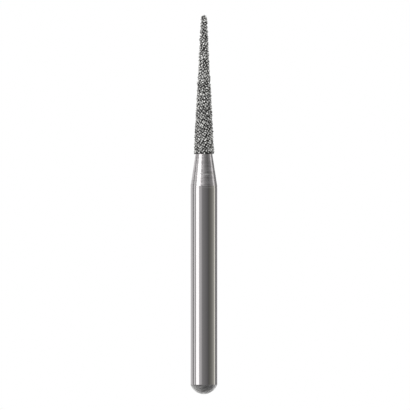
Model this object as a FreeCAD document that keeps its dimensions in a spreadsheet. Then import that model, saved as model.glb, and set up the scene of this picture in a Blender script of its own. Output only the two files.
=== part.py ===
import FreeCAD, Part
import math
import os
import random

import Sketcher

# A friction-grip dental bur with a diamond-coated needle head, modelled upright, point at the top.
# Sizes are in millimetres. The origin is the lowest point of the shank's rounded end, and +Z runs
# along the axis to the point.
#
# It has two pieces. The steel blank is turned from one bar: shank, neck and the slim core of the
# head. The coating is plated on that core: a thin skin of nickel that holds one layer of diamond
# grains, set side by side and bedded to their widest, so that only their upper parts stand out.

SIZES = {
    "shank_diameter": 1.60,
    "shank_length": 12.50,
    "end_dome_height": 0.58,
    "neck_length": 1.91,
    "neck_diameter": 1.01,
    "core_length": 8.24,
    "core_tip_radius": 0.07,
    "bond_thickness": 0.075,
    "bond_edge_thickness": 0.03,
    "grain_pitch": 0.18,
    "grain_height": 0.06,
}

GRAIN_SEED = 353
ROW_SHARE = math.sin(math.radians(60))
LEAST_COUNT = 4
CENTRE_DRIFT = 0.17
BARE_SHARE = 0.05
TOP_REACH = (0.35, 0.85)
CORNER_COUNTS = (3, 4, 4, 5)
TOP_CORNER_DRIFT = 0.12
HEIGHT_SHARE = (0.5, 1.25)
TOP_TILT = 0.5
BORE_PANELS = 40
FULL_TURN = 2 * math.pi
AXIS = FreeCAD.Vector(0, 0, 1)


def make_sheet(doc):
    """The spreadsheet of driving dimensions, one named cell for each."""
    sheet = doc.addObject("Spreadsheet::Sheet", "Sizes")
    for row, (name, value) in enumerate(SIZES.items(), start=1):
        sheet.set(f"A{row}", name)
        sheet.set(f"B{row}", str(value))
        sheet.setAlias(f"B{row}", name)
    doc.recompute()
    return sheet


class CoreForm:
    """The core of the head: a cone, tangent to the ball that rounds its tip."""

    def __init__(self, sheet):
        self.base_radius = sheet.neck_diameter / 2
        self.base_z = sheet.shank_length + sheet.neck_length
        self.ball_radius = sheet.core_tip_radius
        self.tip_z = self.base_z + sheet.core_length
        self.ball_z = self.tip_z - self.ball_radius
        rise = self.ball_z - self.base_z
        reach = math.hypot(self.base_radius, rise)
        self.taper = math.acos(self.ball_radius / reach) - math.atan2(rise, self.base_radius)
        self.slant = math.sqrt(reach**2 - self.ball_radius**2)

    def tangent_point(self):
        """Radius and height of the circle where the cone runs into the ball."""
        radius = self.ball_radius * math.cos(self.taper)
        return radius, self.ball_z + self.ball_radius * math.sin(self.taper)


def make_blank(doc, sheet):
    """The turned steel blank: a profile through the axis, revolved once round."""
    body = doc.addObject("PartDesign::Body", "SteelBlank")
    body.Label = "steel_blank"
    sketch = body.newObject("Sketcher::SketchObject", "BlankProfile")
    plane = next(f for f in body.Origin.OriginFeatures if f.Role == "XZ_Plane")
    sketch.AttachmentSupport = (plane, "")
    sketch.MapMode = "FlatFace"
    draw_blank_profile(sketch, sheet)
    turned = body.newObject("PartDesign::Revolution", "Turned")
    turned.Profile = sketch
    turned.ReferenceAxis = (sketch, ["V_Axis"])
    turned.Angle = 360
    body.Tip = turned
    return body


def draw_blank_profile(sketch, sheet):
    """Half of the blank's section, right of the axis, drawn from the rounded end to the tip."""
    core = CoreForm(sheet)
    shank_radius = sheet.shank_diameter / 2
    dome_height = sheet.end_dome_height
    dome_radius = (shank_radius**2 + dome_height**2) / (2 * dome_height)
    dome_turn = math.atan2(dome_height - dome_radius, shank_radius)
    tangent_radius, tangent_z = core.tangent_point()

    def spot(radius, height):
        return FreeCAD.Vector(radius, height, 0)

    def circle(height, radius):
        return Part.Circle(spot(0, height), AXIS, radius)

    lowest = spot(0, 0)
    shank_foot = spot(shank_radius, dome_height)
    shank_top = spot(shank_radius, sheet.shank_length)
    neck_top = spot(core.base_radius, core.base_z)
    core_top = spot(tangent_radius, tangent_z)
    tip = spot(0, core.tip_z)
    dome = sketch.addGeometry(
        Part.ArcOfCircle(circle(dome_radius, dome_radius), -math.pi / 2, dome_turn)
    )
    shank = sketch.addGeometry(Part.LineSegment(shank_foot, shank_top))
    neck = sketch.addGeometry(Part.LineSegment(shank_top, neck_top))
    cone = sketch.addGeometry(Part.LineSegment(neck_top, core_top))
    ball = sketch.addGeometry(
        Part.ArcOfCircle(circle(core.ball_z, core.ball_radius), core.taper, math.pi / 2)
    )
    centre_line = sketch.addGeometry(Part.LineSegment(tip, lowest))

    start, end, middle = 1, 2, 3
    origin, upright = -1, -2
    for first, second in ((dome, shank), (shank, neck), (neck, cone)):
        sketch.addConstraint(Sketcher.Constraint("Coincident", first, end, second, start))
    sketch.addConstraint(Sketcher.Constraint("Tangent", cone, end, ball, start))
    sketch.addConstraint(Sketcher.Constraint("Coincident", ball, end, centre_line, start))
    sketch.addConstraint(Sketcher.Constraint("Coincident", centre_line, end, dome, start))
    sketch.addConstraint(Sketcher.Constraint("Coincident", centre_line, end, origin, start))
    sketch.addConstraint(Sketcher.Constraint("Vertical", centre_line))
    sketch.addConstraint(Sketcher.Constraint("Vertical", shank))
    sketch.addConstraint(Sketcher.Constraint("PointOnObject", dome, middle, upright))
    sketch.addConstraint(Sketcher.Constraint("PointOnObject", ball, middle, upright))

    def bind(name, formula, kind, *where):
        index = sketch.addConstraint(Sketcher.Constraint(kind, *where))
        sketch.renameConstraint(index, name)
        sketch.setExpression(f"Constraints.{name}", formula)

    bind("shank_radius", "Sizes.shank_diameter / 2",
         "DistanceX", origin, start, shank, start, shank_radius)
    bind("dome_height", "Sizes.end_dome_height",
         "DistanceY", origin, start, shank, start, dome_height)
    bind("shank_length", "Sizes.shank_length",
         "DistanceY", origin, start, shank, end, sheet.shank_length)
    bind("neck_radius", "Sizes.neck_diameter / 2",
         "DistanceX", origin, start, neck, end, core.base_radius)
    bind("neck_length", "Sizes.neck_length",
         "DistanceY", neck, start, neck, end, sheet.neck_length)
    bind("core_length", "Sizes.core_length",
         "DistanceY", neck, end, ball, end, sheet.core_length)
    bind("core_tip_radius", "Sizes.core_tip_radius",
         "Radius", ball, core.ball_radius)


class Skin(CoreForm):
    """The bond's outer surface, a skin on the core, as a place to set grains."""

    def __init__(self, sheet):
        super().__init__(sheet)
        self.level = sheet.bond_thickness
        cap_radius = self.ball_radius + self.level
        self.length = self.slant + cap_radius * (math.pi / 2 - self.taper)

    def spot(self, run, angle):
        """The point on the skin at a run up from the core's base, at an angle round the axis."""
        lean = self.taper
        radius = self.base_radius - run * math.sin(lean)
        height = self.base_z + run * math.cos(lean)
        if run > self.slant:
            lean += (run - self.slant) / (self.ball_radius + self.level)
            radius = self.ball_radius * math.cos(lean)
            height = self.ball_z + self.ball_radius * math.sin(lean)
        radius += self.level * math.cos(lean)
        height += self.level * math.sin(lean)
        return FreeCAD.Vector(radius * math.cos(angle), radius * math.sin(angle), height)

    def outward(self, point):
        """The skin's normal under a point that lies on it or near it."""
        radius = math.hypot(point.x, point.y)
        sideways = (radius - self.base_radius) * math.sin(self.taper)
        if (point.z - self.base_z) * math.cos(self.taper) - sideways > self.slant:
            return (point - FreeCAD.Vector(0, 0, self.ball_z)).normalize()
        return self.spoke(point) * math.cos(self.taper) + AXIS * math.sin(self.taper)

    def settle(self, point):
        """The point moved along the normal until it lies on the skin."""
        normal = self.outward(point)
        if normal.z > math.sin(self.taper):
            return FreeCAD.Vector(0, 0, self.ball_z) + normal * (self.ball_radius + self.level)
        foot = self.spoke(point) * self.base_radius + AXIS * self.base_z
        return point + normal * (self.level - (point - foot).dot(normal))

    def spoke(self, point):
        """The level direction from the axis to a point."""
        return FreeCAD.Vector(point.x, point.y, 0).normalize()


class Grain:
    """One grain's place on the skin, with the corners where its foot meets its neighbours."""

    def __init__(self, skin, run, angle):
        self.angle = angle
        self.point = skin.spot(run, angle)
        self.normal = skin.outward(self.point)
        self.across = AXIS.cross(self.normal)
        if self.across.Length < 1e-6:
            self.across = FreeCAD.Vector(1, 0, 0)
        self.across.normalize()
        self.along = self.normal.cross(self.across)
        self.foot = []

    def bearing(self, point):
        """The direction of a point from the grain's middle, as an angle in the skin's plane."""
        offset = point - self.point
        return math.atan2(offset.dot(self.along), offset.dot(self.across)) % FULL_TURN


def lay_grains(sheet, skin, chance):
    """The grains in rows, row above row from the coating's lower edge to the one at the tip."""
    row_pitch = sheet.grain_pitch * ROW_SHARE
    row_count = max(2, round(skin.length / row_pitch + 0.5))
    row_pitch = skin.length / (row_count - 0.5)
    rows = []
    for row in range(row_count - 1):
        run = (row + 0.5) * row_pitch
        count = max(LEAST_COUNT, round(FULL_TURN * skin.spot(run, 0).x / sheet.grain_pitch))
        grains = []
        for place in range(count):
            turn = place + row % 2 / 2 + chance.uniform(-CENTRE_DRIFT, CENTRE_DRIFT)
            drift = row_pitch * chance.uniform(-CENTRE_DRIFT, CENTRE_DRIFT)
            grains.append(Grain(skin, run + drift, FULL_TURN * turn / count))
        rows.append(grains)
    rows.append([Grain(skin, skin.length, 0)])
    return rows


def lay_edge(sheet, skin, lowest_row):
    """The coating's level lower edge: one corner between each two grains of the lowest row."""
    radius = skin.base_radius + sheet.bond_edge_thickness
    edge = []
    for grain, following in zip(lowest_row, lowest_row[1:] + lowest_row[:1]):
        angle = grain.angle + nearest_turn(following.angle - grain.angle) / 2
        corner = FreeCAD.Vector(radius * math.cos(angle), radius * math.sin(angle), skin.base_z)
        grain.foot.append(corner)
        following.foot.append(corner)
        edge.append(corner)
    return edge


def join_rows(lower, upper, skin):
    """Gives the grains of two rows the corners that they share, one for each three that meet."""
    for triangle in stitch([g.angle for g in lower], [g.angle for g in upper]):
        grains = [(lower, upper)[ring][index] for ring, index in triangle]
        middle = (grains[0].point + grains[1].point + grains[2].point) / 3
        corner = skin.settle(middle)
        for grain in grains:
            grain.foot.append(corner)


def stitch(outer, inner):
    """Triangles that join two rings round one axis, given each ring's angles in rising order.

    Each triangle is three (ring, index) pairs, ring 0 being the outer one. A ring of one point is
    a tip that every triangle shares.
    """
    offset = min(range(len(inner)), key=lambda k: abs(nearest_turn(inner[k] - outer[0])))
    start = outer[0] + nearest_turn(inner[offset] - outer[0])

    def outer_angle(k):
        turns, place = divmod(k, len(outer))
        return outer[place] + FULL_TURN * turns

    def inner_angle(k):
        turns, place = divmod(k + offset, len(inner))
        return start + inner[place] - inner[offset] + FULL_TURN * turns

    inner_steps = len(inner) if len(inner) > 1 else 0
    triangles = []
    i, j = 0, 0
    while i < len(outer) or j < inner_steps:
        outer_step = abs(outer_angle(i + 1) - inner_angle(j))
        inner_step = abs(inner_angle(j + 1) - outer_angle(i))
        here = (0, i % len(outer))
        above = (1, (j + offset) % len(inner))
        if j == inner_steps or (i < len(outer) and outer_step <= inner_step):
            i += 1
            triangles.append((here, (0, i % len(outer)), above))
        else:
            j += 1
            triangles.append((here, (1, (j + offset) % len(inner)), above))
    return triangles


def nearest_turn(angle):
    """The same angle between minus and plus half a turn."""
    return (angle + math.pi) % FULL_TURN - math.pi


def grain_faces(grain, grain_height, chance):
    """One grain: steep sides from its foot to a tilted flat top, or bare nickel with no grain."""
    foot = sorted(grain.foot, key=grain.bearing)
    if chance.random() < BARE_SHARE:
        return [[foot[0], foot[k], foot[k + 1]] for k in range(1, len(foot) - 1)]
    top = grain_top(grain, foot, grain_height, chance)
    rings = (foot, top)
    sides = stitch([grain.bearing(p) for p in foot], [grain.bearing(p) for p in top])
    return [[rings[ring][index] for ring, index in side] for side in sides] + [top]


def grain_top(grain, foot, grain_height, chance):
    """The corners of a grain's flat top, which leans its own way."""
    room = min((corner - grain.point).Length for corner in foot)
    height = grain_height * chance.uniform(*HEIGHT_SHARE)
    lean_across = chance.uniform(-TOP_TILT, TOP_TILT)
    lean_along = chance.uniform(-TOP_TILT, TOP_TILT)
    count = chance.choice(CORNER_COUNTS)
    turn = chance.random()
    top = []
    for place in range(count):
        drift = chance.uniform(-TOP_CORNER_DRIFT, TOP_CORNER_DRIFT)
        angle = FULL_TURN * (place + turn + drift) / count
        reach = room * chance.uniform(*TOP_REACH)
        across = reach * math.cos(angle)
        along = reach * math.sin(angle)
        rise = height + lean_across * across + lean_along * along
        top.append(grain.point + grain.across * across + grain.along * along + grain.normal * rise)
    return sorted(top, key=grain.bearing)


def flat_face(corners):
    return Part.Face(Part.makePolygon(corners + corners[:1]))


def bore_faces(core):
    """The core's surface in narrow upright panels, so that a mesh of so thin a skin stays round."""
    tangent_radius, tangent_z = core.tangent_point()
    halfway = (core.taper + math.pi / 2) / 2
    mouth = FreeCAD.Vector(core.base_radius, 0, core.base_z)
    tangent = FreeCAD.Vector(tangent_radius, 0, tangent_z)
    shoulder = FreeCAD.Vector(math.cos(halfway), 0, math.sin(halfway)) * core.ball_radius
    shoulder.z += core.ball_z
    tip = AXIS * core.tip_z
    cone_line = Part.LineSegment(mouth, tangent).toShape()
    ball_arc = Part.Arc(tangent, shoulder, tip).toShape()
    panel = Part.Wire([cone_line, ball_arc]).revolve(FreeCAD.Vector(), AXIS, 360 / BORE_PANELS)
    faces = []
    for place in range(BORE_PANELS):
        turned = panel.copy()
        turned.rotate(FreeCAD.Vector(), AXIS, 360 * place / BORE_PANELS)
        faces.extend(turned.Faces)
    return faces


def is_level_at(edge, height):
    return all(math.isclose(vertex.Z, height) for vertex in edge.Vertexes)


def make_coating(doc, sheet):
    """The plated layer as one closed skin: grains outside, and inside the core's own surface."""
    chance = random.Random(GRAIN_SEED)
    skin = Skin(sheet)
    rows = lay_grains(sheet, skin, chance)
    edge = lay_edge(sheet, skin, rows[0])
    for lower, upper in zip(rows, rows[1:]):
        join_rows(lower, upper, skin)
    outside = []
    for grain in (grain for row in rows for grain in row):
        outside.extend(flat_face(f) for f in grain_faces(grain, sheet.grain_height, chance))
    bore = bore_faces(skin)
    mouth = [e for face in bore for e in face.Edges if is_level_at(e, skin.base_z)]
    core_edge = Part.Wire(Part.sortEdges(mouth)[0])
    rim = Part.makeFace([Part.makePolygon(edge + edge[:1]), core_edge], "Part::FaceMakerBullseye")
    coating = doc.addObject("Part::Feature", "DiamondCoating")
    coating.Label = "diamond_coating"
    coating.Shape = Part.makeSolid(Part.makeShell(outside + [rim] + bore))
    coating.Placement = FreeCAD.Placement()
    return coating


def write_parts(doc, pieces):
    """Stops if anything failed to build, then writes each piece to a file of its own name."""
    failed = [o.Name for o in doc.Objects if {"Invalid", "Error"} & set(o.State)]
    failed += [p.Label for p in pieces if p.Shape.isNull() or not p.Shape.isValid()]
    if failed:
        raise RuntimeError(f"these did not build: {failed}")
    os.makedirs("parts", exist_ok=True)
    for piece in pieces:
        piece.Shape.exportStep(f"parts/{piece.Label}.step")
        print(piece.Label, "volume", round(piece.Shape.Volume, 4), "faces", len(piece.Shape.Faces))


def main():
    doc = FreeCAD.newDocument("DentalBur")
    sheet = make_sheet(doc)
    blank = make_blank(doc, sheet)
    doc.recompute()
    coating = make_coating(doc, sheet)
    doc.recompute()
    write_parts(doc, [blank, coating])


main()
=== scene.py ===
import math
import random

import bmesh
import bpy
from mathutils import Matrix, Vector, noise


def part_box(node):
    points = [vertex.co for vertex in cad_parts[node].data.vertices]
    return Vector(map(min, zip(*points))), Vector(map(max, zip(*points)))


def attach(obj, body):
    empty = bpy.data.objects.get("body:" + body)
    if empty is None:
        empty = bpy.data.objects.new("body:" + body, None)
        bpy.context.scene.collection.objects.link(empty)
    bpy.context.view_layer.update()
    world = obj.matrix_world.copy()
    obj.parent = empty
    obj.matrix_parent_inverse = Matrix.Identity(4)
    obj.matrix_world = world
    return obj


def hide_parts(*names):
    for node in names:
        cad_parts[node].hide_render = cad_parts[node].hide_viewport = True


# A diamond-coated dental bur, upright, as in a product photograph: polished steel shank, turned
# neck, satin rounded end, and a needle head covered in diamond grains set in nickel.
# Everything is in metres, +Z up along the axis.

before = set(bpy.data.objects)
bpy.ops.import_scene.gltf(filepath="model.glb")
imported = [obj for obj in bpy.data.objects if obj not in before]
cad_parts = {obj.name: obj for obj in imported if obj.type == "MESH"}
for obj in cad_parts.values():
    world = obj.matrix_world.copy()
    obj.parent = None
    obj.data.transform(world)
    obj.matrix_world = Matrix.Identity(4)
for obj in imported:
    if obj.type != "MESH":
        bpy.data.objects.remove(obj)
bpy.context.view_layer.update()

MM = 0.001
MICRON = 0.001 * MM
FULL_TURN = 2 * math.pi
SQUARE_TURN = math.pi / 2

BLANK_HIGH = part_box("steel_blank")[1]
SHANK_RADIUS = BLANK_HIGH.x
CORE_TIP_Z = BLANK_HIGH.z
SHANK_TOP_Z = 12.50 * MM
NECK_TOP_Z = 14.41 * MM
NECK_TOP_RADIUS = 0.505 * MM
CORE_BALL_RADIUS = 0.07 * MM
DOME_HEIGHT = 0.58 * MM
BOND_THICKNESS = 0.075 * MM
BOND_EDGE_THICKNESS = 0.03 * MM

# The photograph's frame: its side in pixels, a pixel's size, and where the axis and the lower end lie.

PHOTO_PIXELS = 410
PIXEL = 0.060 * MM
PHOTO_AXIS_X = 203.9
PHOTO_END_Y = 394.1


# Shape helpers

def add_piece(name, verts, faces, materials, face_materials=None):
    """A mesh piece of the object, riding on its one body."""
    mesh = bpy.data.meshes.new(name)
    mesh.from_pydata(verts, [], faces)
    for material in materials:
        mesh.materials.append(material)
    if face_materials is not None:
        mesh.polygons.foreach_set("material_index", face_materials)
    mesh.validate()
    mesh.update()
    piece = bpy.data.objects.new(name, mesh)
    bpy.context.scene.collection.objects.link(piece)
    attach(piece, "root")
    return piece


def lathe(profile, segments):
    """Vertices and faces of a closed turned form; the profile runs from pole to pole."""
    verts = [(0, 0, profile[0][1])]
    for radius, height in profile[1:-1]:
        for k in range(segments):
            angle = FULL_TURN * k / segments
            verts.append((radius * math.cos(angle), radius * math.sin(angle), height))
    verts.append((0, 0, profile[-1][1]))
    rings = len(profile) - 2
    last = len(verts) - 1
    faces = []
    for k in range(segments):
        after = (k + 1) % segments
        faces.append((0, 1 + after, 1 + k))
        for ring in range(rings - 1):
            low = 1 + ring * segments
            high = low + segments
            faces.append((low + k, low + after, high + after, high + k))
        top = 1 + (rings - 1) * segments
        faces.append((top + k, top + after, last))
    return verts, faces


def steps(start, end, count):
    """Evenly spaced values from start to end, start left out."""
    return [start + (end - start) * k / count for k in range(1, count + 1)]


# The core's form, as the head's grains need it

class Core:
    """The head's core: a cone, tangent to the ball that rounds its tip."""

    def __init__(self):
        self.ball_z = CORE_TIP_Z - CORE_BALL_RADIUS
        rise = self.ball_z - NECK_TOP_Z
        reach = math.hypot(NECK_TOP_RADIUS, rise)
        self.taper = math.acos(CORE_BALL_RADIUS / reach) - math.atan2(rise, NECK_TOP_RADIUS)
        self.slant = math.sqrt(reach**2 - CORE_BALL_RADIUS**2)
        self.cap_radius = CORE_BALL_RADIUS + BOND_THICKNESS
        self.length = self.slant + self.cap_radius * (SQUARE_TURN - self.taper)

    def profile_point(self, run, level):
        """Radius, height and lean of the skin at a run up from the neck, a level above the core."""
        lean = self.taper
        radius = NECK_TOP_RADIUS - run * math.sin(lean)
        height = NECK_TOP_Z + run * math.cos(lean)
        if run > self.slant:
            lean = min(lean + (run - self.slant) / self.cap_radius, SQUARE_TURN)
            radius = CORE_BALL_RADIUS * math.cos(lean)
            height = self.ball_z + CORE_BALL_RADIUS * math.sin(lean)
        return radius + level * math.cos(lean), height + level * math.sin(lean), lean


# Materials

class Look:
    """A short way to build one material's node tree."""

    def __init__(self, name):
        self.material = bpy.data.materials.new(name)
        self.material.use_nodes = True
        self.tree = self.material.node_tree
        self.shader = self.tree.nodes["Principled BSDF"]
        self.place = self.add("ShaderNodeTexCoord").outputs["Object"]

    def add(self, kind, inputs=None, **settings):
        """A new node with its settings, and its inputs fed."""
        node = self.tree.nodes.new(kind)
        for key, value in settings.items():
            setattr(node, key, value)
        for key, value in (inputs or {}).items():
            self.feed(node.inputs[key], value)
        return node

    def feed(self, socket, value):
        """Link another node's output to the socket, or set a plain value on it."""
        if isinstance(value, bpy.types.NodeSocket):
            self.tree.links.new(value, socket)
        else:
            socket.default_value = value

    def scaled_place(self, scale):
        return self.add("ShaderNodeMapping", {"Vector": self.place, "Scale": scale}).outputs[0]

    def turned_place(self, turn, scale):
        """The place turned about the three axes, in radians, and then scaled."""
        turned = self.add("ShaderNodeMapping", {"Vector": self.place, "Rotation": turn}).outputs[0]
        return self.add("ShaderNodeMapping", {"Vector": turned, "Scale": scale}).outputs[0]

    def noise(self, place, scale=1.0, detail=3.0, roughness=0.6):
        inputs = {"Vector": place, "Scale": scale, "Detail": detail, "Roughness": roughness}
        return self.add("ShaderNodeTexNoise", inputs).outputs["Fac"]

    def spread(self, value, low, high, start=0.3, end=0.7):
        """A value stretched to run from low to high while it goes from start to end."""
        inputs = {"Value": value, "From Min": start, "From Max": end, "To Min": low, "To Max": high}
        return self.add("ShaderNodeMapRange", inputs).outputs[0]

    def blend(self, share, low, high):
        """The colour that lies this share of the way from the low one to the high one."""
        inputs = {"Factor": share, "A": (*low, 1), "B": (*high, 1)}
        return self.add("ShaderNodeMix", inputs, data_type="RGBA").outputs["Result"]

    def bump(self, height, strength, distance):
        inputs = {"Height": height, "Strength": strength, "Distance": distance}
        return self.add("ShaderNodeBump", inputs).outputs[0]

    def finish(self, **inputs):
        """Feed the shader, and hand over the material."""
        for key, value in inputs.items():
            self.feed(self.shader.inputs[key.replace("_", " ")], value)
        return self.material


def shank_material():
    """Centreless-ground and polished steel: faint rings, a few finer smears in the polish."""
    look = Look("shank_polished_steel")
    dull, bright = (0.585, 0.58, 0.577), (0.60, 0.595, 0.592)
    rings = look.noise(look.scaled_place((300, 300, 30000)))
    smears = look.noise(look.scaled_place((900, 900, 250)), roughness=0.55)
    return look.finish(
        Base_Color=look.blend(look.spread(smears, 0, 1), dull, bright),
        Metallic=1.0,
        Roughness=look.spread(smears, 0.055, 0.08),
        Normal=look.bump(rings, strength=0.1, distance=0.2 * MICRON),
    )


def neck_material():
    """Turned steel, left as the tool cut it: fine rings that break up round the neck."""
    look = Look("neck_turned_steel")
    dull, bright = (0.5, 0.495, 0.492), (0.68, 0.675, 0.67)
    rings = look.noise(look.scaled_place((600, 600, 9500)))
    patches = look.noise(look.scaled_place((1500, 1500, 9000)), detail=2.0)
    return look.finish(
        Base_Color=look.blend(look.spread(rings, 0, 1, start=0.35, end=0.65), dull, bright),
        Metallic=1.0,
        Roughness=look.spread(patches, 0.12, 0.2),
        Normal=look.bump(rings, strength=0.6, distance=8 * MICRON),
    )


def dome_material():
    """The rounded end, tumbled to a satin: dull, with scratches that cross each other."""
    look = Look("dome_satin_steel")
    dull, bright = (0.12, 0.118, 0.117), (0.68, 0.675, 0.67)
    scratch_scale = (2200, 9000, 13000)
    scratches = look.noise(look.turned_place((0, 0.5, 0.3), scratch_scale), detail=4.0)
    crossing = look.noise(look.turned_place((0, -0.6, 0.9), scratch_scale), detail=4.0)
    both = look.add("ShaderNodeMath", {0: scratches, 1: crossing}, operation="MINIMUM").outputs[0]
    return look.finish(
        Base_Color=look.blend(look.spread(both, 0, 1, end=0.6), dull, bright),
        Metallic=1.0,
        Roughness=look.spread(both, 0.45, 0.3, end=0.6),
        Normal=look.bump(both, strength=0.4, distance=3 * MICRON),
    )


def nickel_material():
    """The plated nickel between the grains: nodular and dull, painted near black as the shade in the
    hollows between the grains.
    """
    look = Look("plated_nickel_painted_shade")
    # Painted shade: these near-black greys stand for the shadow between the grains, not for the nickel's
    # own colour.
    dark, light = (0.025, 0.025, 0.024), (0.08, 0.079, 0.077)
    nodules = look.noise(look.place, scale=28000)
    return look.finish(
        Base_Color=look.blend(look.spread(nodules, 0, 1), dark, light),
        Metallic=0.9,
        Roughness=look.spread(nodules, 0.55, 0.35),
        Normal=look.bump(nodules, strength=0.6, distance=6 * MICRON),
    )


DIAMOND_TINT = 0.985, 0.99, 0.955
# The greys that a facet's tone runs through: the darkest stops are painted shade on facets that face
# aside, and the lightest up to white are painted glints.
FACET_GREYS_AND_GLINTS = (0.0, 0.02), (0.25, 0.07), (0.5, 0.36), (0.75, 0.75), (1.0, 1.0)


def grain_material():
    """Diamond grains: grey and clouded, each facet dark or light by its tone, which holds painted shade
    and painted glints in place of the light inside the crystal.
    """
    look = Look("diamond_grain")
    clouded, clear = (0.7, 0.7, 0.7), (1, 1, 1)
    # Each facet's tone holds painted shade and painted glints, and is set in make_grains.
    tone_and_shade = look.add("ShaderNodeAttribute", attribute_name="facet_tone_and_shade").outputs["Fac"]
    clouds = look.noise(look.place, scale=22000)
    ramp = look.add("ShaderNodeValToRGB", {"Fac": tone_and_shade})
    stops = ramp.color_ramp.elements
    while len(stops) < len(FACET_GREYS_AND_GLINTS):
        stops.new(0.5)
    for stop, (tone_place, grey) in zip(stops, FACET_GREYS_AND_GLINTS):
        stop.position = tone_place
        stop.color = (*[grey * tint for tint in DIAMOND_TINT], 1)
    veil = look.blend(look.spread(clouds, 0, 1, start=0.4, end=0.6), clouded, clear)
    layers = {"Factor": 1.0, "A": ramp.outputs["Color"], "B": veil}
    veiled = look.add("ShaderNodeMix", layers, data_type="RGBA", blend_type="MULTIPLY")
    return look.finish(
        Base_Color=veiled.outputs["Result"],
        Metallic=0.3,
        IOR=2.4,
        Roughness=look.spread(clouds, 0.3, 0.38),
        Normal=look.bump(clouds, strength=0.3, distance=3 * MICRON),
    )


# The steel blank

BLANK_SEGMENTS = 192
DOME_STEPS, SHANK_STEPS, CORE_STEPS, BALL_STEPS = 20, 24, 12, 6
SHARP_ANGLE = math.radians(14)

CUT_LINE_Z = SHANK_TOP_Z - 0.12 * MM
CUT_DEPTH, CUT_HEIGHT = 0.011 * MM, 0.008 * MM
CUT_END_DEPTH, CUT_END_HEIGHT = 0.002 * MM, 0.07 * MM

RING_SEED = 11
RING_PITCHES = 0.07 * MM, 0.16 * MM
RING_DEPTHS = 0.5 * MICRON, 6.5 * MICRON
LEAST_LAST_RING = 0.04 * MM


def blank_profile():
    """The blank's section from the dome's pole to the tip, with a line cut where the neck starts."""
    dome_radius = (SHANK_RADIUS**2 + DOME_HEIGHT**2) / (2 * DOME_HEIGHT)
    edge_turn = math.asin(SHANK_RADIUS / dome_radius)
    points = [(0, 0)]
    for turn in steps(0, edge_turn, DOME_STEPS):
        points.append((dome_radius * math.sin(turn), dome_radius * (1 - math.cos(turn))))
    points += [(SHANK_RADIUS, z) for z in steps(DOME_HEIGHT, CUT_LINE_Z, SHANK_STEPS)]
    points.append((SHANK_RADIUS - CUT_DEPTH, CUT_LINE_Z + CUT_HEIGHT))
    points.append((SHANK_RADIUS - CUT_END_DEPTH, CUT_LINE_Z + CUT_END_HEIGHT))
    points.append((SHANK_RADIUS, SHANK_TOP_Z))
    points += neck_rings()
    core = Core()
    for run in steps(0, core.slant, CORE_STEPS):
        points.append(core.profile_point(run, 0)[:2])
    for turn in steps(core.taper, SQUARE_TURN, BALL_STEPS):
        height = core.ball_z + CORE_BALL_RADIUS * math.sin(turn)
        points.append((CORE_BALL_RADIUS * math.cos(turn), height))
    return points


def neck_rings():
    """The neck's cone with its turning rings: shallow grooves of uneven depth and pitch."""
    chance = random.Random(RING_SEED)
    points = []
    z = SHANK_TOP_Z
    while z < NECK_TOP_Z - LEAST_LAST_RING:
        pitch = chance.uniform(*RING_PITCHES)
        depth = chance.uniform(*RING_DEPTHS)
        for share, cut in ((0.5, depth), (1.0, 0.0)):
            height = min(z + share * pitch, NECK_TOP_Z)
            along = (height - SHANK_TOP_Z) / (NECK_TOP_Z - SHANK_TOP_Z)
            radius = SHANK_RADIUS + (NECK_TOP_RADIUS - SHANK_RADIUS) * along
            points.append((radius - cut, height))
        z += pitch
    points.append((NECK_TOP_RADIUS, NECK_TOP_Z))
    return points


def blank_zone(height):
    """The place in the blank's list of materials of the one that shows at this height."""
    if height < DOME_HEIGHT:
        return 0
    if height > SHANK_TOP_Z:
        return 2
    return 1


def make_blank():
    """The turned blank, with a finish of its own on the rounded end, the shank and the neck."""
    verts, faces = lathe(blank_profile(), BLANK_SEGMENTS)
    zones = [blank_zone(sum(verts[v][2] for v in face) / len(face)) for face in faces]
    materials = [dome_material(), shank_material(), neck_material()]
    blank = add_piece("turned_blank", verts, faces, materials, zones)
    blank.data.polygons.foreach_set("use_smooth", [True] * len(faces))
    blank.data.set_sharp_from_angle(angle=SHARP_ANGLE)
    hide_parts("steel_blank")


# The diamond coat

BOND_SEGMENTS = 96
BOND_STEPS = 150
SWELL_START_Z = NECK_TOP_Z + 0.02 * MM
SWELL_HEIGHT = 0.010 * MM
SWELLS_PER_METRE = 9000
SWELL_LEAST_RADIUS = 0.1 * MM

# A crystal is cut from a cube, in units of its own size, and the cuts lie at these distances
# from its middle. Two values that stand together are the least and the most of a random draw.

CRYSTAL_COUNT = 24
CRYSTAL_CUBE = 1.5
CRYSTAL_CUTS = 6, 10
CUT_SWAY = 0.35
CUT_DISTANCES = 0.62, 0.98
CUT_TOLERANCE = 1e-5

GRAIN_SEED = 5
GRAIN_PITCH = 0.145 * MM
GRAIN_RADIUS = 0.070 * MM
GRAIN_SIZES = 0.85, 1.15
GRAIN_STRETCHES = 0.75, 1.1
GRAIN_SINK = 0.012 * MM
GRAIN_SINK_SHARES = -0.30, 0.35

# The spiral, in pitches: where it starts, the lowest that a grain may stray, the room left below
# the one grain on the tip, and how far a grain strays. Then the skin that one grain takes in a
# close packing.

FIRST_GRAIN, LOWEST_GRAIN, TIP_ROOM, GRAIN_DRIFT = 0.3, 0.2, 0.5, 0.2
GRAIN_AREA = GRAIN_PITCH**2 * math.sin(math.radians(60))
GOLDEN_TURN = FULL_TURN * (3 - math.sqrt(5)) / 2

# Painted light and shade on the grains: a facet that faces outward is painted lighter and one that faces
# aside darker, by this weight. The spread adds a share per facet that is partly random tone and partly
# painted glints for the light inside the crystal.
FACING_PAINTED_SHADE = 0.6
TONE_SPREAD = -0.15, 0.44


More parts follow.
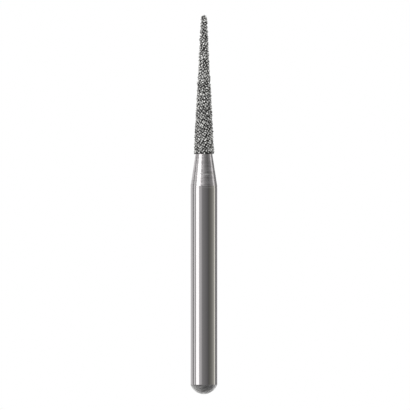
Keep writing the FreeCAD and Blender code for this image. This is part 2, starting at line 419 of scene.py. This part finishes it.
def make_bond(core):
    """The nickel skin over the core, a little uneven, thin at its lower edge."""
    profile = [(0, NECK_TOP_Z)]
    profile.append((NECK_TOP_RADIUS - BOND_EDGE_THICKNESS, NECK_TOP_Z))
    profile.append((NECK_TOP_RADIUS + BOND_EDGE_THICKNESS, NECK_TOP_Z))
    for run in steps(0, core.length, BOND_STEPS):
        profile.append(core.profile_point(run, BOND_THICKNESS)[:2])
    profile[-1] = (0, CORE_TIP_Z + BOND_THICKNESS)
    verts, faces = lathe(profile, BOND_SEGMENTS)
    swollen = []
    for x, y, z in verts:
        radius = math.hypot(x, y)
        if radius > 0 and z > SWELL_START_Z:
            swell = noise.noise(Vector((x, y, z)) * SWELLS_PER_METRE) * SWELL_HEIGHT
            x *= 1 + swell / max(radius, SWELL_LEAST_RADIUS)
            y *= 1 + swell / max(radius, SWELL_LEAST_RADIUS)
        swollen.append((x, y, z))
    bond = add_piece("nickel_bond", swollen, faces, [nickel_material()])
    bond.data.polygons.foreach_set("use_smooth", [True] * len(faces))
    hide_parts("diamond_coating")


def cut_crystal(chance):
    """One blocky grain of unit size: a cube with corners and upright edges cut flat."""
    solid = bmesh.new()
    bmesh.ops.create_cube(solid, size=CRYSTAL_CUBE)
    normals = [Vector((x, y, z)) for x in (-1, 1) for y in (-1, 1) for z in (-1, 1)]
    normals += [Vector((x, y, 0)) for x in (-1, 1) for y in (-1, 1)]
    chance.shuffle(normals)
    for normal in normals[:chance.randint(*CRYSTAL_CUTS)]:
        sway = Vector([chance.uniform(-CUT_SWAY, CUT_SWAY) for _ in range(3)])
        direction = (normal + sway).normalized()
        geometry = solid.verts[:] + solid.edges[:] + solid.faces[:]
        cut = bmesh.ops.bisect_plane(
            solid, geom=geometry, dist=CUT_TOLERANCE, clear_outer=True,
            plane_co=direction * chance.uniform(*CUT_DISTANCES), plane_no=direction,
        )
        edges = [part for part in cut["geom_cut"] if isinstance(part, bmesh.types.BMEdge)]
        if edges:
            bmesh.ops.contextual_create(solid, geom=edges)
    bmesh.ops.recalc_face_normals(solid, faces=solid.faces[:])
    solid.verts.index_update()
    corners = [vert.co.copy() for vert in solid.verts]
    sides = [[vert.index for vert in face.verts] for face in solid.faces]
    solid.free()
    return corners, sides


def grain_places(core, chance):
    """Where the grains sit: a close spiral up the head, a golden turn apart, so that no rows show."""
    run, turn = FIRST_GRAIN * GRAIN_PITCH, 0.0
    while run < core.length - TIP_ROOM * GRAIN_PITCH:
        around = core.profile_point(run, BOND_THICKNESS)[0] * FULL_TURN
        drift_up = GRAIN_PITCH * chance.uniform(-GRAIN_DRIFT, GRAIN_DRIFT)
        drift_round = GRAIN_PITCH * chance.uniform(-GRAIN_DRIFT, GRAIN_DRIFT)
        yield max(run + drift_up, LOWEST_GRAIN * GRAIN_PITCH), turn + drift_round / around * FULL_TURN
        run += GRAIN_AREA / around
        turn += GOLDEN_TURN
    yield core.length, 0


def grain_seat(core, run, angle):
    """A place on the nickel's skin, and the direction that points straight out of it."""
    radius, height, lean = core.profile_point(run, BOND_THICKNESS)
    seat = Vector((radius * math.cos(angle), radius * math.sin(angle), height))
    aside = math.cos(lean)
    return seat, Vector((math.cos(angle) * aside, math.sin(angle) * aside, math.sin(lean)))


def make_grains(core):
    """Every grain of the coat, each turned its own way, and sunk more or less deep in the nickel."""
    chance = random.Random(GRAIN_SEED)
    shapes = [cut_crystal(chance) for _ in range(CRYSTAL_COUNT)]
    verts, faces, tones_and_shades = [], [], []
    for run, angle in grain_places(core, chance):
        seat, outward = grain_seat(core, run, angle)
        size = GRAIN_RADIUS * chance.uniform(*GRAIN_SIZES)
        centre = seat - outward * (GRAIN_SINK + chance.uniform(*GRAIN_SINK_SHARES) * size)
        spin_angle = chance.uniform(0, FULL_TURN)
        spin = Matrix.Rotation(spin_angle, 3, Vector([chance.gauss(0, 1) for _ in range(3)]))
        stretch = Matrix.Diagonal([chance.uniform(*GRAIN_STRETCHES) for _ in range(3)])
        corners, sides = chance.choice(shapes)
        first = len(verts)
        for corner in corners:
            verts.append(centre + spin @ (stretch @ corner) * size)
        for side in sides:
            faces.append([first + v for v in side])
            middle = sum((verts[first + v] - centre for v in side), Vector())
            # Painted shade: the less a facet faces outward, the darker its tone.
            facing = middle.normalized() @ outward
            tones_and_shades.append(FACING_PAINTED_SHADE * facing + chance.uniform(*TONE_SPREAD))
    grains = add_piece("diamond_grains", verts, faces, [grain_material()])
    tone_layer = grains.data.attributes.new("facet_tone_and_shade", "FLOAT", "FACE")
    tone_layer.data.foreach_set("value", tones_and_shades)
    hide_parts("diamond_coating")


# The studio

ROSY = 1.0, 0.968, 0.985, 1
WARM = 1.0, 0.975, 0.885, 1
NEUTRAL = 1.0, 1.0, 1.0, 1
WARM_FROM_BEARING = 20
CARD_DISTANCE = 60 * MM
CARD_FACET_DEGREES = 4
LOWER_TIER = -30 * MM, 22 * MM
UPPER_TIER = 22 * MM, 46 * MM
UPPER_TIER_FOOT = 22 * MM, 32.6 * MM
UPPER_TIER_HEAD = 32.6 * MM, 46 * MM
BOTH_TIERS = -30 * MM, 46 * MM


class Card:
    """An upright reflector or flag, bent round the bur, from one bearing to another.

    Bearings are in degrees round from the camera's side, positive to the right. It only shows in
    reflections, at a strength that changes evenly from its first bearing to its last one. It is
    faintly rosy, or warm where it stands low on the right.
    """

    def __init__(self, name, start, end, strength_start, strength_end, tier):
        self.name = name
        self.start, self.end = start, end
        self.strengths = strength_start, strength_end
        self.low, self.high = tier
        self.colour = WARM if tier == LOWER_TIER and (start + end) / 2 > WARM_FROM_BEARING else ROSY


CARDS = (
    Card("left_sweep", -176, -109, 0.92, 0.70, BOTH_TIERS),
    Card("left_flag", -109, -98, 0.15, 0.15, BOTH_TIERS),
    Card("left_card", -97, -85, 1.0, 0.95, BOTH_TIERS),
    Card("left_gap", -85, -73, 0.5, 0.5, BOTH_TIERS),
    Card("key_softbox", -70, -44, 1.85, 1.85, LOWER_TIER),
    Card("left_fill", -44, -16, 0.8, 0.47, LOWER_TIER),
    Card("camera_side", -16, 40, 0.31, 0.13, LOWER_TIER),
    Card("right_fill_near", 40, 66, 0.12, 0.22, LOWER_TIER),
    Card("right_fill_far", 66, 99, 0.22, 0.5, LOWER_TIER),
    Card("right_strip", 99, 110, 1.05, 1.05, LOWER_TIER),
    Card("key_softbox_top", -68, -31, 2.0, 2.0, UPPER_TIER),
    Card("left_fill_top", -31, -10, 1.2, 0.72, UPPER_TIER_FOOT),
    Card("left_fill_high", -31, -10, 0.4, 0.36, UPPER_TIER_HEAD),
    Card("centre_top", -10, 8, 0.66, 0.34, UPPER_TIER),
    Card("camera_side_top", 8, 42, 0.32, 0.16, UPPER_TIER),
    Card("right_fill_top", 42, 90, 0.15, 0.38, UPPER_TIER),
    Card("right_strip_top", 90, 111, 1.0, 1.0, UPPER_TIER),
    Card("right_sweep", 112, 176, 0.25, 0.35, BOTH_TIERS),
)


def card_material(name, strengths, colour):
    """Plain light, with a strength set by a layer along the card."""
    material = bpy.data.materials.new(name)
    material.use_nodes = True
    nodes, links = material.node_tree.nodes, material.node_tree.links
    nodes.clear()
    output = nodes.new("ShaderNodeOutputMaterial")
    glow = nodes.new("ShaderNodeEmission")
    glow.inputs["Color"].default_value = colour
    along = nodes.new("ShaderNodeAttribute")
    along.attribute_name = "along"
    ramp = nodes.new("ShaderNodeMapRange")
    ramp.inputs["To Min"].default_value, ramp.inputs["To Max"].default_value = strengths
    links.new(along.outputs["Fac"], ramp.inputs["Value"])
    links.new(ramp.outputs[0], glow.inputs["Strength"])
    links.new(glow.outputs[0], output.inputs["Surface"])
    return material


def stage_mesh(name, verts, faces, material, shares=None):
    """A prop of the studio. One with shares along it is a card, which only reflections see."""
    mesh = bpy.data.meshes.new(name)
    mesh.from_pydata(verts, [], faces)
    mesh.materials.append(material)
    if shares:
        mesh.attributes.new("along", "FLOAT", "POINT").data.foreach_set("value", shares)
    prop = bpy.data.objects.new(name, mesh)
    bpy.context.scene.collection.objects.link(prop)
    if shares:
        prop.visible_camera = False
        prop.visible_diffuse = False
        prop.visible_shadow = False
        prop.visible_transmission = False


def make_card(card):
    """The card's bent mesh, in flat facets."""
    spans = max(2, round((card.end - card.start) / CARD_FACET_DEGREES))
    verts, faces, shares = [], [], []
    for k in range(spans + 1):
        share = k / spans
        bearing = math.radians(card.start + (card.end - card.start) * share)
        x, y = CARD_DISTANCE * math.sin(bearing), -CARD_DISTANCE * math.cos(bearing)
        verts += [(x, y, card.low), (x, y, card.high)]
        shares += [share, share]
    for k in range(spans):
        faces.append((2 * k, 2 * k + 2, 2 * k + 3, 2 * k + 1))
    material = card_material(card.name, card.strengths, card.colour)
    stage_mesh(card.name, verts, faces, material, shares)


# Each column and row of the table flag has a place, and a share of the way from the flag's darker
# strength to its lighter one. A point takes the larger share.

TABLE_FLAG_Z = -8 * MM
TABLE_FLAG_STRENGTHS = 0.22, 0.95
TABLE_FLAG_COLUMNS = (-45 * MM, 0.45), (-8 * MM, 0.45), (0, 0.0), (8 * MM, 0.0), (45 * MM, 0.0)
TABLE_FLAG_ROWS = (-60 * MM, 0.0), (0, 0.0), (12 * MM, 1.0)


def make_table_flag():
    """A dark card that lies under the bur, and darkens its rounded end, least at its lower rim."""
    verts, shares = [], []
    for y, share_back in TABLE_FLAG_ROWS:
        for x, share_aside in TABLE_FLAG_COLUMNS:
            verts.append((x, y, TABLE_FLAG_Z))
            shares.append(max(share_back, share_aside))
    across = len(TABLE_FLAG_COLUMNS)
    faces = []
    for row in range(len(TABLE_FLAG_ROWS) - 1):
        for column in range(across - 1):
            first = row * across + column
            faces.append((first, first + 1, first + across + 1, first + across))
    material = card_material("table_flag", TABLE_FLAG_STRENGTHS, NEUTRAL)
    stage_mesh("table_flag", verts, faces, material, shares)


FLOOR_Z = -9 * MM
FLOOR_REACH = 90 * MM
FLOOR_CORNERS = 64
FLOOR_GLOW_MIDDLE, FLOOR_GLOW_EDGE = 0.1, 0.34
FLOOR_COLOUR = 0.82, 0.82, 0.81, 1


def either_ray(tree):
    """1 for rays from the camera and for those of reflections and glass, else 0."""
    path = tree.nodes.new("ShaderNodeLightPath")
    total = path.outputs["Is Camera Ray"]
    for name in ("Is Glossy Ray", "Is Transmission Ray"):
        larger = tree.nodes.new("ShaderNodeMath")
        larger.operation = "MAXIMUM"
        tree.links.new(total, larger.inputs[0])
        tree.links.new(path.outputs[name], larger.inputs[1])
        total = larger.outputs[0]
    return total


def floor_material():
    """Pale paper that takes shadows, with a faint glow that grows away from the bur."""
    material = bpy.data.materials.new("floor_paper")
    material.use_nodes = True
    tree = material.node_tree
    tree.nodes.clear()
    paper = tree.nodes.new("ShaderNodeBsdfDiffuse")
    paper.inputs["Color"].default_value = FLOOR_COLOUR
    glow = tree.nodes.new("ShaderNodeEmission")
    place = tree.nodes.new("ShaderNodeTexCoord")
    reach = tree.nodes.new("ShaderNodeVectorMath")
    reach.operation = "LENGTH"
    tree.links.new(place.outputs["Object"], reach.inputs[0])
    fade = tree.nodes.new("ShaderNodeMapRange")
    fade.inputs["From Max"].default_value = FLOOR_REACH
    fade.inputs["To Min"].default_value = FLOOR_GLOW_MIDDLE
    fade.inputs["To Max"].default_value = FLOOR_GLOW_EDGE
    tree.links.new(reach.outputs["Value"], fade.inputs["Value"])
    scale = tree.nodes.new("ShaderNodeMath")
    scale.operation = "MULTIPLY"
    tree.links.new(either_ray(tree), scale.inputs[0])
    tree.links.new(fade.outputs[0], scale.inputs[1])
    tree.links.new(scale.outputs[0], glow.inputs["Strength"])
    both = tree.nodes.new("ShaderNodeAddShader")
    tree.links.new(paper.outputs[0], both.inputs[0])
    tree.links.new(glow.outputs[0], both.inputs[1])
    output = tree.nodes.new("ShaderNodeOutputMaterial")
    tree.links.new(both.outputs[0], output.inputs["Surface"])
    return material


def make_floor():
    """A pale round table below the bur: it keeps the soft shadow, and fades into the white behind."""
    angles = [FULL_TURN * k / FLOOR_CORNERS for k in range(FLOOR_CORNERS)]
    verts = [(FLOOR_REACH * math.cos(angle), FLOOR_REACH * math.sin(angle), FLOOR_Z) for angle in angles]
    stage_mesh("floor", verts, [tuple(range(FLOOR_CORNERS))], floor_material())


WORLD_LIGHT = 0.75
WHITE = 1, 1, 1, 1


def make_world():
    """White to the camera and in reflections, and a plain even light on matt surfaces."""
    world = bpy.data.worlds.new("studio")
    bpy.context.scene.world = world
    world.use_nodes = True
    tree = world.node_tree
    background = tree.nodes["Background"]
    background.inputs["Color"].default_value = WHITE
    ramp = tree.nodes.new("ShaderNodeMapRange")
    ramp.inputs["To Min"].default_value = WORLD_LIGHT
    ramp.inputs["To Max"].default_value = 1.0
    tree.links.new(either_ray(tree), ramp.inputs["Value"])
    tree.links.new(ramp.outputs[0], background.inputs["Strength"])


def make_lamp(name, bearing, height, distance, size, power):
    """A soft area lamp that faces the middle of the bur."""
    lamp = bpy.data.lights.new(name, "AREA")
    lamp.size = size
    lamp.energy = power
    holder = bpy.data.objects.new(name, lamp)
    angle = math.radians(bearing)
    middle = Vector((0, 0, CORE_TIP_Z / 2))
    holder.location = Vector((distance * math.sin(angle), -distance * math.cos(angle), height))
    holder.rotation_euler = (middle - holder.location).to_track_quat("-Z", "Y").to_euler()
    holder.visible_glossy = False
    bpy.context.scene.collection.objects.link(holder)


# The lens and sensor, in millimetres as a camera states them.

LENS_LENGTH = 600
SENSOR_WIDTH = 36
CLIP_NEAR, CLIP_FAR = 10 * MM, 10


def make_camera():
    """Level with the bur's middle, through a long lens, framed as in the photograph."""
    lens = bpy.data.cameras.new("camera")
    lens.sensor_width = SENSOR_WIDTH
    lens.lens = LENS_LENGTH
    lens.clip_start, lens.clip_end = CLIP_NEAR, CLIP_FAR
    camera = bpy.data.objects.new("camera", lens)
    distance = PHOTO_PIXELS * PIXEL * LENS_LENGTH / SENSOR_WIDTH
    middle_x = (PHOTO_PIXELS / 2 - PHOTO_AXIS_X) * PIXEL
    middle_z = (PHOTO_END_Y - PHOTO_PIXELS / 2) * PIXEL
    camera.location = (middle_x, -distance, middle_z)
    camera.rotation_euler = (SQUARE_TURN, 0, 0)
    bpy.context.scene.collection.objects.link(camera)
    bpy.context.scene.camera = camera


# The picture

make_camera()
make_world()
make_floor()
for card in CARDS:
    make_card(card)
make_table_flag()
make_lamp("key_lamp", bearing=-55, height=50 * MM, distance=110 * MM, size=60 * MM, power=0.10)
make_lamp("top_lamp", bearing=20, height=120 * MM, distance=40 * MM, size=80 * MM, power=0.05)
bpy.context.scene.view_settings.view_transform = "Standard"

make_blank()
head = Core()
make_bond(head)
make_grains(head)
